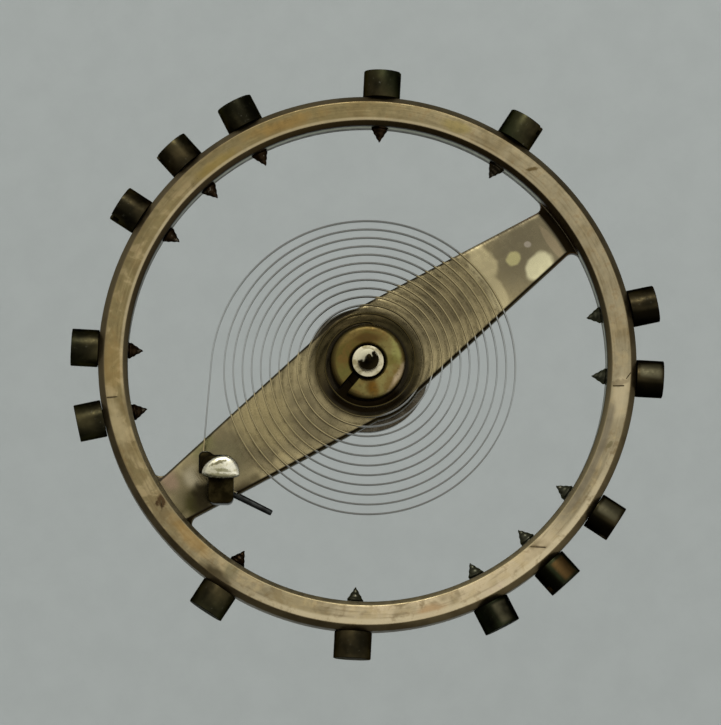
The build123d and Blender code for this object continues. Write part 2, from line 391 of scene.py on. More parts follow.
class Nodes:
    """Short names for shader nodes. A value may be a range: (value, low, high, to low, to high)."""

    def __init__(self, tree):
        self.tree = tree

    def add(self, kind, sockets=None, **settings):
        """Node with settings, and values or links for its sockets."""
        node = self.tree.nodes.new("ShaderNode" + kind)
        for key, value in settings.items():
            setattr(node, key, value)
        for key, value in (sockets or {}).items():
            self.put(node.inputs[key], value)
        return node

    def put(self, socket, value):
        if isinstance(value, tuple) and isinstance(value[0], bpy.types.NodeSocket):
            value = self.remap(*value)
        if isinstance(value, bpy.types.NodeSocket):
            self.tree.links.new(value, socket)
        else:
            socket.default_value = value

    def math(self, operation, first, second=0.0):
        return self.add("Math", {0: first, 1: second}, operation=operation).outputs[0]

    def vector(self, operation, first, second=(0, 0, 0)):
        node = self.add("VectorMath", {0: first, 1: second}, operation=operation)
        return node.outputs["Value" if operation in ("LENGTH", "DOT_PRODUCT") else "Vector"]

    def remap(self, value, low, high, to_low=0.0, to_high=1.0):
        """Value taken smoothly from one range to another."""
        sockets = {"Value": value, "From Min": low, "From Max": high, "To Min": to_low, "To Max": to_high}
        return self.add("MapRange", sockets, interpolation_type="SMOOTHSTEP").outputs["Result"]


class Graph(Nodes):
    """A material with a Principled shader. A tone is a socket or an 8-bit colour."""

    def __init__(self, name, **sockets):
        self.material = bpy.data.materials.new(name)
        self.material.use_nodes = True
        super().__init__(self.material.node_tree)
        self.shader = self.tree.nodes["Principled BSDF"]
        self.use(**sockets)
        self.place = self.add("TexCoord").outputs["Object"]
        in_millimetres = self.vector("MULTIPLY", self.place, (1 / MM, 1 / MM, 1 / MM))
        self.x, self.y, self.z = self.add("SeparateXYZ", {0: in_millimetres}).outputs

    def use(self, **sockets):
        """Values or links for the shader's sockets."""
        for key, value in sockets.items():
            self.put(self.shader.inputs[key.replace("_", " ").title().replace("Ior", "IOR")], value)
        return self.material

    @cached_property
    def flat(self):
        """Place in the plane of the wheel, in metres."""
        return self.vector("MULTIPLY", self.place, (1, 1, 0))

    @cached_property
    def radius(self):
        """Distance from the axis, in millimetres."""
        return self.math("MULTIPLY", self.vector("LENGTH", self.flat), 1 / MM)

    @cached_property
    def way(self):
        """Direction away from the axis, as a unit vector."""
        return self.vector("NORMALIZE", self.flat)

    def side(self, angle):
        """How far a point lies towards an angle round the axis, from -1 to 1."""
        return self.vector("DOT_PRODUCT", self.way, polar(1, angle))

    def facing(self, way, normal="Normal"):
        """How squarely the surface faces a direction, from -1 to 1."""
        return self.vector("DOT_PRODUCT", self.add("NewGeometry").outputs[normal], way)

    def all_of(self, *shares):
        """Product of shares."""
        return reduce(lambda first, second: self.math("MULTIPLY", first, second), shares)

    def any_of(self, *shares):
        """Largest of the shares."""
        return reduce(lambda first, second: self.math("MAXIMUM", first, second), shares)

    def noise(self, scale, detail=3, roughness=0.6, distortion=0.0, source=None):
        sockets = {"Vector": source or self.place, "Scale": scale, "Detail": detail, "Roughness": roughness}
        return self.add("TexNoise", {**sockets, "Distortion": distortion}).outputs["Fac"]

    def mix(self, share, *tones):
        """One tone going over into another."""
        first, second = (colour(*tone) if isinstance(tone, tuple) else tone for tone in tones)
        return self.add("Mix", {"Factor": share, "A": first, "B": second}, data_type="RGBA").outputs["Result"]

    def layered(self, tone, *layers):
        """Tone with others over it, each after its share."""
        return reduce(lambda under, layer: self.mix(layer[0], under, layer[1]), layers, tone)

    def marked(self, tone, marks, wander, soft):
        """Tone with oval patches over it, their edges wandering."""
        for x, y, long, wide, turn, share, shade in marks:
            oval = self.add("Mapping", {
                "Vector": self.flat, "Location": (x * MM, y * MM, 0), "Rotation": (0, 0, radians(turn)),
                "Scale": (long * MM, wide * MM, 1),
            }, vector_type="TEXTURE")
            reach = self.vector("LENGTH", oval.outputs["Vector"])
            reach = self.math("ADD", reach, (wander, 0.3, 0.7, -0.4, 0.4))
            tone = self.mix(self.all_of((reach, 1 + soft, 1 - soft), share), tone, shade)
        return tone

    def bump(self, height, depth, strength):
        """Normal of a surface raised by up to a depth in millimetres."""
        node = self.add("Bump", {"Distance": depth * MM, "Strength": strength, "Height": height})
        return node.outputs["Normal"]

    def worn(self, tone, grain, rough_low, rough_high, depth, strength):
        """Finished material, rough and bumpy after one grain."""
        return self.use(base_color=tone, roughness=(grain, 0.3, 0.7, rough_low, rough_high),
                        normal=self.bump(grain, depth, strength))


# Marks on the wheel: X, Y, half length, half width, turn, strength and tone
rim_nicks = [
    (-7.84, 0.17, 0.24, 0.18, 60, 1.0, (66, 50, 28)),
    (7.83, 1.99, 0.24, 0.07, -27, 1.0, (86, 72, 44)),
    (6.1, -5.15, 0.3, 0.1, -20, 0.5, (104, 90, 66)),
    (0.95, -7.87, 0.26, 0.05, -39, 0.6, (96, 80, 56)),
    (-7.23, 3.73, 0.18, 0.04, 150, 0.5, (80, 68, 42)),
    (4.69, -6.56, 0.14, 0.06, 10, 0.6, (98, 90, 62)),
]
rim_marks = [
    (-2.99, -7.58, 0.5, 0.2, -22, 0.6, (158, 124, 82)),
    (-0.88, -8.18, 0.5, 0.12, -6, 0.6, (186, 166, 150)),
    (2.14, 7.71, 0.95, 0.2, -16, 0.8, (124, 100, 56)),
    (-0.36, 7.88, 0.8, 0.18, 2, 0.7, (122, 104, 54)),
    (6.67, 4.48, 0.4, 0.15, -56, 0.7, (128, 114, 68)),
    (-6.51, 4.65, 0.9, 0.28, 54, 0.3, (142, 116, 64)),
    (-7.59, 2.84, 0.9, 0.26, 70, 0.8, (152, 138, 102)),
    (-7.75, -1.2, 0.7, 0.26, 99, 0.6, (140, 112, 64)),
    (-6.3, -4.9, 0.8, 0.24, 128, 0.4, (148, 132, 94)),
    (0.92, -7.92, 0.5, 0.16, 7, 0.7, (178, 162, 128)),
    (5.9, -5.5, 0.7, 0.2, 47, 0.6, (182, 168, 134)),
    (-7.44, -2.93, 0.36, 0.2, 21, 0.4, (104, 98, 68)),
    (-7.83, -2.76, 0.55, 0.23, 108, 0.9, (58, 50, 31)),
]
# Marks on the arm; the last three darken it round the stud's foot as the stud's painted shadow
arm_marks = [
    (6.3, 0.1, 1.4, 1.6, 0, 0.85, (100, 92, 70)),
    (3.2, -0.1, 0.5, 1.0, 0, 0.3, (100, 88, 60)),
    (-3.8, 0.3, 0.9, 0.9, 0, 0.5, (160, 145, 100)),
    (-5.4, 0.2, 0.8, 0.8, 0, 0.7, (92, 87, 62)),
    (-6.66, 0.26, 0.36, 0.28, 62, 0.9, (156, 146, 118)),
    (-5.7, 1.0, 0.5, 0.4, 0, 0.7, (110, 108, 66)),
    (-7.25, 0.6, 0.3, 0.45, 0, 0.8, (136, 114, 92)),
    (-7.04, -0.4, 0.5, 0.58, 0, 1.0, (54, 50, 22)),
    (-6.7, -0.52, 0.46, 0.58, 0, 1.0, (32, 26, 7)),
    (-5.6, -1.0, 0.6, 0.3, 10, 0.9, (46, 38, 18)),
]
# Pale spots towards the arm's +X end: painted reflections
arm_spots = [
    (4.85, 0.52, 0.66, 0.44, 84, 0.9, (164, 152, 114)),
    (4.68, -0.45, 0.66, 0.3, 86, 0.9, (164, 152, 114)),
    (5.75, 0.06, 0.27, 0.24, 0, 0.9, (164, 156, 108)),
    (6.22, -0.6, 0.5, 0.38, 20, 1.0, (182, 175, 138)),
    (6.39, 0.19, 0.11, 0.12, 50, 0.6, (160, 150, 134)),
    (7.05, -0.2, 0.62, 0.12, 90, 0.7, (134, 120, 92)),
]


def face_tone(g, stains, specks, streaks):
    """Rim's upper face: gold where tarnished and in painted shade, cream where worn bright and in painted
    light, with painted highlights along its edges.
    """
    face_inner = rim_inner_radius + rim_inner_chamfer
    face_outer = rim_radius - rim_outer_chamfer
    blots = g.noise(1700, 3, 0.6, 0.4)
    mottled = g.remap(g.side(mottled_side), -0.9, 0.2, 0.2, 1.0)
    # Paler towards one side: wear and painted light together
    fresh_and_lit = g.all_of((g.side(worn_and_lit_side), 0.82, 0.955), (stains, 0.7, 0.46, 0.5, 1.0))
    shaded = g.all_of((g.radius, face_outer - 0.34, face_outer - 0.12), (g.side(shade_and_highlight_side), 0.6, 0.9, 0, 0.5))
    # Base tone darker towards one side: tarnish and painted shade together
    tone = g.layered(
        g.mix((g.side(tarnished_and_shaded_side), -0.2, 0.7), (139, 128, 100), (117, 104, 69)),
        (fresh_and_lit, (184, 168, 134)),
        ((stains, 0.5, 0.68, 0, 0.5), (106, 90, 58)),
        ((specks, 0.5, 0.74, 0, 0.5), (106, 84, 52)),
        (g.all_of((blots, 0.52, 0.66, 0, 0.5), mottled), (98, 82, 52)),
        (g.all_of((blots, 0.5, 0.36, 0, 0.45), mottled), (172, 154, 114)),
        ((streaks, 0.48, 0.72, 0, 0.45), (98, 84, 56)),
        ((streaks, 0.46, 0.3, 0, 0.2), (164, 146, 106)),
        (shaded, (84, 74, 48)),
    )
    tone = g.marked(g.marked(tone, rim_marks, stains, 0.5), rim_nicks, specks, 0.3)
    # Inner and outer: painted highlights along the face's edges
    inner = g.all_of((g.radius, face_inner + 0.13, face_inner + 0.07), (g.side(shade_and_highlight_side), 0.2, 0.7, 0, 0.4))
    outer = g.all_of((g.radius, face_outer - 0.24, face_outer - 0.14),
                     (g.side(worn_and_lit_side), 0.55, 0.85), (specks, 0.66, 0.5, 0.3, 0.8))
    dull = g.all_of((g.radius, face_inner + 0.29, face_inner + 0.15), (g.side(dull_side), 0.955, 0.985), 0.75)
    return g.layered(tone, (g.any_of(inner, outer), (190, 176, 142)), (dull, (108, 100, 82)))


def inside_arm(g):
    """Half the arm's width at a place along it, in millimetres."""
    slope = (arm_width - arm_tip_width) / 2 / arm_taper_end
    return g.math("SUBTRACT", arm_width / 2, g.math("MULTIPLY", g.math("ABSOLUTE", g.x), slope))


def arm_painted_shade(g):
    """Painted shade on the arm: round the collet, along both edges and in the corner at the rim."""
    crescent = g.all_of((g.radius, hub_radius - 0.04, hub_radius - 0.32), (g.side(collet_shadow_side), 0.1, 0.75))
    ring = g.remap(g.radius, collet_radius + 0.18, collet_radius + 0.06, 0, 0.85)
    half = inside_arm(g)
    lower = g.remap(g.math("ADD", half, g.y), 0.14, 0.08)
    upper = g.remap(g.math("SUBTRACT", half, g.y), 0.09, 0.04, 0, 0.9)
    root = g.all_of((g.radius, rim_inner_radius - 0.37, rim_inner_radius - 0.25), (g.x, 0, 1))
    return g.any_of(crescent, ring, root, lower, upper)


def arm_tone(g, painted_shade, stains, specks):
    """Arm: olive brass, worn and stained, darker at the hub with painted shade, and black where more shade is
    painted.
    """
    tone = g.mix((stains, 0.36, 0.66), (148, 135, 98), (110, 100, 72))
    tone = g.mix((specks, 0.52, 0.75, 0, 0.4), tone, (86, 76, 50))
    calm = g.remap(stains, 0.3, 0.7, 0.42, 0.58)
    tone = g.marked(g.marked(tone, arm_marks, stains, 0.5), arm_spots, calm, 0.2)
    # Painted shade: the hub darker round the collet and the inner coils
    hub = g.mix((stains, 0.35, 0.65), (72, 62, 36), (46, 40, 18))
    tone = g.mix((g.radius, hub_radius + 0.1, hub_radius - 0.25), tone, hub)
    # Black where the painted shade falls
    return g.mix(painted_shade, tone, (18, 13, 5))


def wall_tone(g, stains):
    """Walls and chamfers: brown outside, a greenish grey belt inside, painted shade on the wall beside the arm
    and a painted reflection on one side of the inner chamfer.
    """
    outer = g.mix((stains, 0.42, 0.66, 0, 0.6), (97, 85, 60), (66, 54, 32))
    height = g.math("SUBTRACT", g.z, rim_low)
    belt = g.all_of((height, 0.36, 0.44), (height, 0.78, 0.7), (g.side(belt_side), -0.5, 0.2, 0.3, 1.0),
                    (g.radius, rim_inner_radius - 0.1, rim_inner_radius - 0.05))
    # Painted shade on the wall beside the arm's +X end
    shade_beside_arm = g.all_of((g.x, 6, 7), (g.math("ABSOLUTE", g.y), 1.1, 0.9))
    inner = g.layered(g.mix((height, 0.5, 0.6), (58, 52, 34), (24, 18, 9)),
                      (belt, (164, 166, 146)), (shade_beside_arm, (52, 35, 14)))
    # Inner chamfer paler towards one side: painted reflection
    bevel = g.mix((g.side(bevel_reflection_side), -0.5, 0.5), (56, 46, 27), (128, 116, 86))
    bevel_start = rim_top - rim_inner_chamfer
    inner = g.mix((g.z, bevel_start - 0.01, bevel_start + 0.01), inner, bevel)
    return g.mix((g.radius, rim_radius - 0.6, rim_radius - 0.64), outer, inner)


def brass_of_wheel():
    """Satin brass: grained rim face, smoother tarnished arm, dark walls and chamfers."""
    g = Graph("wheel_brass")
    stains = g.noise(750, 3, 0.62)
    specks = g.noise(4200, 4, 0.65)
    across = g.add("CombineXYZ", {"Z": g.math("MULTIPLY", g.radius, 14)}).outputs[0]
    source = g.vector("ADD", g.vector("MULTIPLY", g.way, (7, 7, 0)), across)
    streaks = g.noise(1.0, source=source)
    low = g.all_of((g.z, rim_top - 0.3, rim_top - 0.4),
                   (g.radius, rim_inner_radius + 0.02, rim_inner_radius - 0.03))
    upright = g.remap(g.math("ABSOLUTE", g.facing((0, 0, 1), "True Normal")), 0.998, 0.985)
    # Painted shade on the arm; it also raises the metallic value where it is full
    painted_shade = arm_painted_shade(g)
    tone = g.mix(low, face_tone(g, stains, specks, streaks), arm_tone(g, painted_shade, stains, specks))
    tone = g.mix(upright, tone, wall_tone(g, stains))
    rough = g.math("ADD", (specks, 0.3, 0.7, 0.27, 0.42), g.math("MULTIPLY", upright, 0.1))
    rough = g.math("SUBTRACT", rough, g.math("MULTIPLY", low, 0.1))
    grain = g.math("ADD", g.math("MULTIPLY", specks, 0.6), streaks)
    return g.use(base_color=tone, roughness=rough, metallic=g.any_of(painted_shade, 0.88),
                 normal=g.bump(grain, 0.005, 0.5))


def dark_screw():
    """Near black, green and brown, heads with a painted sheen along one flank and painted shade on the other,
    and a brown tail with painted glints.
    """
    g = Graph("dark_screw", metallic=1.0, specular_tint=(0.35, 0.35, 0.32, 1))
    patches = g.noise(1100, 3, 0.5)
    fine = g.noise(9000, 4)
    hue = g.noise(210, 1, 0.5)
    flank = g.facing(direction(26, 65.2))
    shaded = g.all_of((flank, 0.86, 0.7, 0, 0.85), (g.side(dull_side), 0.7, 0.82))
    # Painted sheen along the flank facing the light, on the heads towards one side
    sheen = g.all_of((flank, 0.84, 0.95), (g.side(sheen_heads_side), 0.7, 0.82),
                      (patches, 0.3, 0.5, 0.4, 1.0),
                      (g.radius, rim_radius + 0.06, rim_radius + 0.16),
                      (g.radius, rim_radius + 0.84, rim_radius + 0.7), 0.9)
    tone = g.mix((patches, 0.32, 0.68, 0.1, 1.0), (20, 19, 12),
                 g.mix((hue, 0.38, 0.62), (40, 46, 28), (64, 56, 36)))
    tone = g.layered(
        tone, ((fine, 0.62, 0.76, 0, 0.5), (92, 90, 76)),
        ((g.side(dark_heads_side), 0.6, 0.9, 0, 0.5), (18, 15, 8)), (shaded, (10, 8, 4)),
    )
    tone = g.mix(sheen, tone, g.mix((g.side(brown_head_side), 0.975, 0.99), (74, 70, 52), (80, 61, 34)))
    tail = g.mix((g.side(dull_side), 0.0, 0.5), (38, 28, 17), (66, 66, 52))
    # Painted glints on the tail's thread
    tail = g.mix((fine, 0.6, 0.7, 0, 0.4), tail, (140, 134, 116))
    tone = g.mix((g.radius, rim_inner_radius + 0.1, rim_inner_radius), tone, tail)
    rough = g.math("ADD", (fine, 0.3, 0.7, 0.32, 0.46), g.math("MULTIPLY", sheen, 0.14))
    return g.use(base_color=tone, roughness=rough, normal=g.bump(fine, 0.004, 0.6))


# Marks on the collet; the first is a painted shadow round the staff, the second a painted highlight on the
# bevel
collet_marks = [
    (0.42, 0.6, 0.46, 0.15, -35, 0.8, (70, 50, 20)),
    (0.52, -0.92, 0.62, 0.11, 24, 0.9, (160, 142, 112)),
    (-0.36, -0.74, 0.26, 0.16, 60, 0.9, (88, 60, 12)),
    (0.92, -0.3, 0.32, 0.14, 70, 0.8, (126, 124, 70)),
    (0.55, -0.35, 0.14, 0.34, 50, 0.6, (86, 78, 30)),
    (-0.05, 0.98, 0.6, 0.12, -4, 0.6, (104, 86, 46)),
    (-0.86, 0.2, 0.36, 0.2, 70, 0.7, (88, 84, 40)),
]


def brass_of_collet():
    """Olive and brown brass, paler on one side with painted light, painted shade on the far side of the bevel,
    and dark edges and walls.
    """
    g = Graph("collet_brass", metallic=0.92)
    patches = g.noise(1700)
    fine = g.noise(7000, 4, 0.65)
    side = g.side(pale_side_of_collet)
    # Painted shade on the bevel's far side
    away = g.all_of((g.radius, collet_radius - 0.21, collet_radius - 0.15), (side, 0.4, -0.2), 0.75)
    dark = g.any_of((g.z, collet_top - collet_bevel + 0.02, collet_top - collet_bevel - 0.06),
                    (g.radius, collet_radius - 0.03, collet_radius - 0.005),
                    (g.radius, collet_bore_radius + 0.1, collet_bore_radius + 0.04))
    # Paler towards one side: painted light
    tone = g.mix((side, -0.7, 0.8), (80, 70, 30), (112, 102, 58))
    tone = g.mix((patches, 0.46, 0.62, 0, 0.6), tone, (96, 72, 34))
    tone = g.layered(
        g.marked(tone, collet_marks, patches, 0.5),
        ((fine, 0.5, 0.75, 0, 0.6), (62, 52, 24)), (away, (60, 50, 22)), (dark, (26, 19, 7)),
    )
    return g.worn(tone, fine, 0.3, 0.48, 0.006, 0.7)


def steel_of_staff():
    """Turned steel: a journal with a painted highlight on one side and painted shade on the other, a dark
    pivot, and a rivet in painted shade.
    """
    g = Graph("staff_steel")
    patches = g.noise(3600)
    turned = g.noise(1.0, source=g.vector("MULTIPLY", g.place, (300, 300, 26000)))
    # Painted highlight on the journal's side towards the light, painted shade elsewhere
    towards_light = g.math("ADD", g.side(lit_side + 35), (patches, 0.3, 0.7, -0.35, 0.35))
    painted_highlight = g.all_of((towards_light, 0.0, 0.4), (g.radius, pivot_radius + 0.02, pivot_radius + 0.06))
    above = g.remap(g.z, collet_top + 0.045, collet_top + 0.075)
    # Painted shade on the rivet and the staff under the collet
    rivet = g.all_of((g.z, collet_top - 0.06, collet_top - 0.12), (g.z, rim_low, rim_low + 0.05))
    tone = g.mix((patches, 0.42, 0.62), (196, 188, 158), (140, 130, 96))
    tone = g.mix(above, tone, g.mix(painted_highlight, (34, 28, 13), (205, 198, 165)))
    tone = g.mix(rivet, tone, (18, 13, 5))
    rough = g.math("ADD", (turned, 0.3, 0.7, 0.2, 0.34), g.math("MULTIPLY", above, 0.25))
    return g.use(base_color=tone, roughness=rough, metallic=(g.all_of(above, painted_highlight), 0, 1, 1.0, 0.35),
                 normal=g.bump(turned, 0.002, 0.4))


# Marks on the stud's pale top, from its middle; the first is painted shade on its lower left part
lens_marks = [
    (-0.14, -0.14, 0.34, 0.2, 22, 0.6, (152, 147, 116)),
    (0.03, 0.06, 0.27, 0.05, 22, 0.9, (98, 92, 62)),
    (0.15, -0.19, 0.24, 0.055, -8, 0.8, (116, 112, 76)),
    (0.08, -0.35, 0.5, 0.07, -2, 0.9, (120, 116, 84)),
]


def steel_of_stud():
    """Stud: polished pale top, everything under it dark with painted shade."""
    g = Graph("stud_steel", metallic=1.0)
    patches = g.noise(2200)
    fine = g.noise(8000, 4)
    top = heights("stud")[1]
    # Painted shade below the top
    dark = g.mix((patches, 0.4, 0.65), (20, 16, 6), (40, 34, 17))
    pale = g.mix((fine, 0.45, 0.72), (222, 218, 196), (176, 170, 138))
    marks = [(*(stud_frame @ Vector((x, y, 0))).xy, long, wide, turn + stud_turn, share, shade)
             for x, y, long, wide, turn, share, shade in lens_marks]
    pale = g.marked(pale, marks, fine, 0.4)
    tone = g.mix((g.z, top - 0.14, top - 0.07), dark, pale)
    return g.worn(tone, fine, 0.22, 0.4, 0.005, 0.6)


def steel_of_spring():
    """Grey steel with painted shade towards the light and away from it, and a painted reflection of the arm:
    golden over it, dark near the hub.
    """
    g = Graph("spring_steel", metallic=1.0)
    patches = g.noise(420, 2, 0.5)
    # Painted shade towards the light and away from it
    tone = g.mix((g.math("ABSOLUTE", g.side(lit_side)), 0.1, 0.8), (152, 156, 152), (112, 113, 108))
    tone = g.mix((patches, 0.35, 0.65, 0, 0.3), tone, (126, 124, 116))
    # Painted reflection of the arm: golden, dark near the hub
    arm_reflection = g.all_of((g.math("SUBTRACT", inside_arm(g), g.math("ABSOLUTE", g.y)), 0.0, 0.08),
                        (g.facing((0, 0, 1)), 0.2, 0.8, 0.4, 1.0))
    tone = g.mix(arm_reflection, tone, g.mix((g.radius, 2.1, 1.6), (152, 139, 102), (60, 52, 29)))
    return g.use(base_color=tone, roughness=(patches, 0.3, 0.7, 0.3, 0.36))


def metal(name, light, dull, rough_low, rough_high, scale):
    """Worn metal in two tones with a fine grain."""
    g = Graph(name, metallic=1.0)
    patches = g.noise(scale)
    fine = g.noise(scale * 6, 4)
    return g.worn(g.mix((patches, 0.38, 0.66), light, dull), fine, rough_low, rough_high, 0.002, 0.5)


def ruby():
    """Clear red stone."""
    g = Graph("ruby", transmission_weight=0.85, ior=1.76)
    cloud = g.noise(3000, 2, 0.55)
    tone = g.mix((cloud, 0.3, 0.7), (190, 30, 60), (150, 12, 40))
    return g.use(base_color=tone, roughness=(cloud, 0.3, 0.7, 0.03, 0.08))


finishes = {
    "rim_brass": brass_of_wheel(),
    "screw_dark": dark_screw(),
    "staff_steel": steel_of_staff(),
    "roller_steel": metal("roller_steel", (96, 90, 76), (64, 56, 42), 0.2, 0.36, 1900),
    "collet_brass": brass_of_collet(),
    "pin_brass": metal("pin_brass", (176, 158, 104), (140, 120, 66), 0.3, 0.45, 3000),
    "spring_steel": steel_of_spring(),
    "stud_steel": steel_of_stud(),
    "pin_dark": metal("pin_dark", (52, 54, 52), (34, 34, 32), 0.3, 0.5, 4000),
    "ruby": ruby(),
}


# Wheel

def seat_angles():
    """Angles of the screws, each with its opposite one."""
    pitch = 180 / len(seat_pattern)
    filled = [place for place, mark in enumerate(2 * seat_pattern) if mark == "x"]
    return sorted((first_seat_angle + pitch * place) % 360 for place in filled)


def along_edge(start, slope, radius):
    """Point where a straight line from the start leaves a circle round the axis."""
    reach = start.dot(slope)
    return start + slope * (sqrt(reach ** 2 - start.length_squared + radius ** 2) - reach)


def arm_quarter():
    """Upper edge of the arm from its +X end to the hub's middle, with the root fillet."""
    slope = Vector((arm_taper_end, (arm_tip_width - arm_width) / 2)).normalized()
    normal = Vector((-slope.y, slope.x))
    start = Vector((0, arm_width / 2))
    centre = along_edge(start + normal * arm_root_fillet, slope, rim_inner_radius - arm_root_fillet)
    outward = degrees(atan2(centre.y, centre.x))
    inward = degrees(atan2(-normal.y, -normal.x))
    root = arc(centre, arm_root_fillet, outward, (inward - outward) % 360 - 360, 10)
    deep = polar(rim_inner_radius + 0.3, outward)
    leave = along_edge(start, slope, hub_radius)
    angle = degrees(atan2(leave.y, leave.x))
    return [(deep.x, deep.y)] + root + arc((0, 0), hub_radius, angle, 90 - angle, 16)


def arm_outline():
    """The whole outline, counter-clockwise, mirrored from one quarter."""
    quarter = arm_quarter()
    upper = quarter + [(-x, y) for x, y in reversed(quarter[:-1])]
    return upper + [(-x, -y) for x, y in upper]


def creases():
    """Cutters of the creases: square bars, dipping into the face with one edge."""
    side = 0.2
    tools = []
    for x, y, turn, half, depth in rim_creases:
        ridge = spin(turn) @ spin(45, "X")
        place = (x, y, rim_top - depth + side / sqrt(2))
        tools.append(block("crease", place, (2 * half, side, side), ridge))
    return tools


def balance_wheel():
    """Rim and arm joined in one piece, bored and drilled."""
    wheel = lathe("balance_wheel_dressed", soften([
        (rim_inner_radius, rim_low),
        (rim_radius, rim_low),
        (rim_radius, rim_top - rim_outer_chamfer),
        (rim_radius - rim_outer_chamfer, rim_top),
        (rim_inner_radius + rim_inner_chamfer, rim_top),
        (rim_inner_radius, rim_top - rim_inner_chamfer),
    ], edge_break), 512)
    arm = plate("arm", arm_outline(), [
        (rim_low + 0.004, edge_break), (rim_low + 0.013, edge_break / 3), (rim_low + edge_break, 0),
        (arm_top - edge_break, 0), (arm_top - 0.01, edge_break / 3), (arm_top, edge_break),
    ])
    carve(wheel, [arm], "UNION")
    tools = [tube("bore", (0, 0, rim_low - overrun), (0, 0, arm_top + overrun), bore_radius + 0.004, 96)]
    for angle in seat_angles():
        inside = polar(rim_inner_radius - overrun / 4, angle, screw_axis)
        outside = polar(rim_radius + overrun, angle, screw_axis)
        tools.append(tube("seat", inside, outside, thread_radius + thread_clearance))
    carve(wheel, tools + creases())
    settle(wheel, "balance", "rim_brass", "balance_wheel")


# Screws

def threaded_ring(points, height, segments):
    """Add a ring of the thread to the points, narrow and ragged towards the tail's point."""
    cone = thread_radius * (height + thread_reach) / thread_point
    for k in range(segments):
        turn = k / segments
        wave = abs(2 * ((height / thread_pitch + turn) % 1) - 1)
        radius = min(thread_radius - thread_depth * wave, cone + point_raggedness * (1 - wave))
        radius = max(radius, 0.004)
        points.append((radius * cos(2 * pi * turn), radius * sin(2 * pi * turn), height))
    return list(range(len(points) - segments, len(points)))


def screw_blank():
    """Screw along +Z: threaded and pointed tail below, slotted head above."""
    segments, rows = 64, 66
    points = []
    rings = [threaded_ring(points, thread_reach * row / rows - thread_reach, segments)
             for row in range(rows + 1)]
    head = [(thread_radius + 0.01, 0), (head_radius, 0), (head_radius, head_length), (0, head_length)]
    rings += [add_ring(points, radius, height, segments)
              for radius, height in soften(head, 0.035, closed=False)]
    blank = new_object("screw_blank", points, [rings[0][::-1]] + bands(rings))
    cut = slot_depth + overrun
    slot = block("slot", (0, 0, head_length - slot_depth + cut / 2), (3 * head_radius, slot_width, cut))
    return carve(blank, [slot])


def balance_screws():
    """One screw in each seat, with its own slot direction."""
    blank = screw_blank()
    for number, angle in enumerate(seat_angles()):
        screw = link(bpy.data.objects.new(f"balance_screw_{number + 1:02d}_dressed", blank.data.copy()))
        place = spin(angle) @ Matrix.Translation((rim_radius, 0, screw_axis))
        turn = 90 + slot_turn * (number % slot_turn_cycle - slot_turn_cycle // 2)
        place = place @ spin(90, "Y") @ spin(turn)
        screw.data.transform(place)
        settle(screw, "balance", "screw_dark", f"balance_screw_{number + 1:02d}")
    bpy.data.objects.remove(blank)


# Staff and rollers

def flare(start, end, steps=10):
    """Profile of a flare between two heights, tangent to its pivot."""
    across, along = journal_radius - pivot_radius, end - start
    radius = (across ** 2 + along ** 2) / (2 * across)
    turn = 2 * atan2(across, abs(along))
    sign = 1 if along > 0 else -1
    angles = [turn * step / steps for step in range(steps + 1)]
    return [(pivot_radius + radius * (1 - cos(angle)), start + sign * radius * sin(angle)) for angle in angles]


def balance_staff():
    """Staff with rounded pivots, flares, flange and rivet."""
    arbor_top = collet_top + arbor_rise
    upper_shoulder = arbor_top + journal_length
    body = soften([
        (journal_radius, roller_top), (cone_radius, roller_top),
        (flange_radius, rim_low - flange_thickness), (flange_radius, rim_low),
        (bore_radius - seat_clearance, rim_low), (bore_radius - seat_clearance, arm_top),
        (rivet_radius, arm_top), (rivet_radius, arm_top + rivet_height),
        (arbor_radius, arm_top + rivet_height), (arbor_radius, arbor_top), (journal_radius, arbor_top),
    ], 0.025, closed=False)
    lower = pivot_tip + flare(pivot_length, pivot_length + pivot_flare)
    upper = flare(upper_shoulder + pivot_flare, upper_shoulder)[::-1]
    end = [(radius, staff_top - rise) for radius, rise in reversed(pivot_tip)]
    staff = lathe("balance_staff_dressed", lower + body + upper + end, 128, closed=False)
    settle(staff, "balance", "staff_steel", "balance_staff")


def jewel_outline(gap):
    """D-shaped section of the jewel, its flat away from the staff."""
    radius = jewel_radius + gap
    half = degrees(acos((jewel_radius * jewel_flat_share + gap) / radius))
    return [(y, -x - jewel_offset) for x, y in arc((0, 0), radius, half, 360 - 2 * half, 40)]


def rollers():
    """Roller table with its jewel, and the safety roller with its crescent."""
    inside = journal_radius + seat_clearance
    table = lathe("roller_table_dressed", soften([
        (inside, roller_low), (roller_radius, roller_low), (roller_radius, roller_top), (inside, roller_top),
    ], 0.05), 192)
    hole = plate("hole", jewel_outline(seat_clearance), [(roller_low - overrun, 0), (roller_top + overrun, 0)])
    carve(table, [hole])
    settle(table, "balance", "roller_steel", "roller_table")
    jewel = plate("impulse_jewel_dressed", jewel_outline(0), broken_edges(*heights("impulse_jewel")))
    settle(jewel, "balance", "ruby", "impulse_jewel")
    low, high = heights("safety_roller")
    step = low + safety_thickness
    safety = lathe("safety_roller_dressed", soften([
        (inside, low), (safety_radius, low), (safety_radius, step), (safety_pipe_radius, step),
        (safety_pipe_radius, high), (inside, high),
    ], 0.02), 160)
    ends = [(0, -crescent_offset, low - overrun), (0, -crescent_offset, step + overrun / 4)]
    carve(safety, [tube("crescent", *ends, crescent_radius, 64)])
    settle(safety, "balance", "roller_steel", "safety_roller")


# Collet

def flat_of_pin(radius):
    """Distance from a pin's axis to its filed flat."""
    return radius * pin_flat_share


def strip_shift(radius):
    """Distance from a hole's axis to the middle of the strip beside the pin."""
    return flat_of_pin(radius) + pin_clearance + strip_thickness / 2


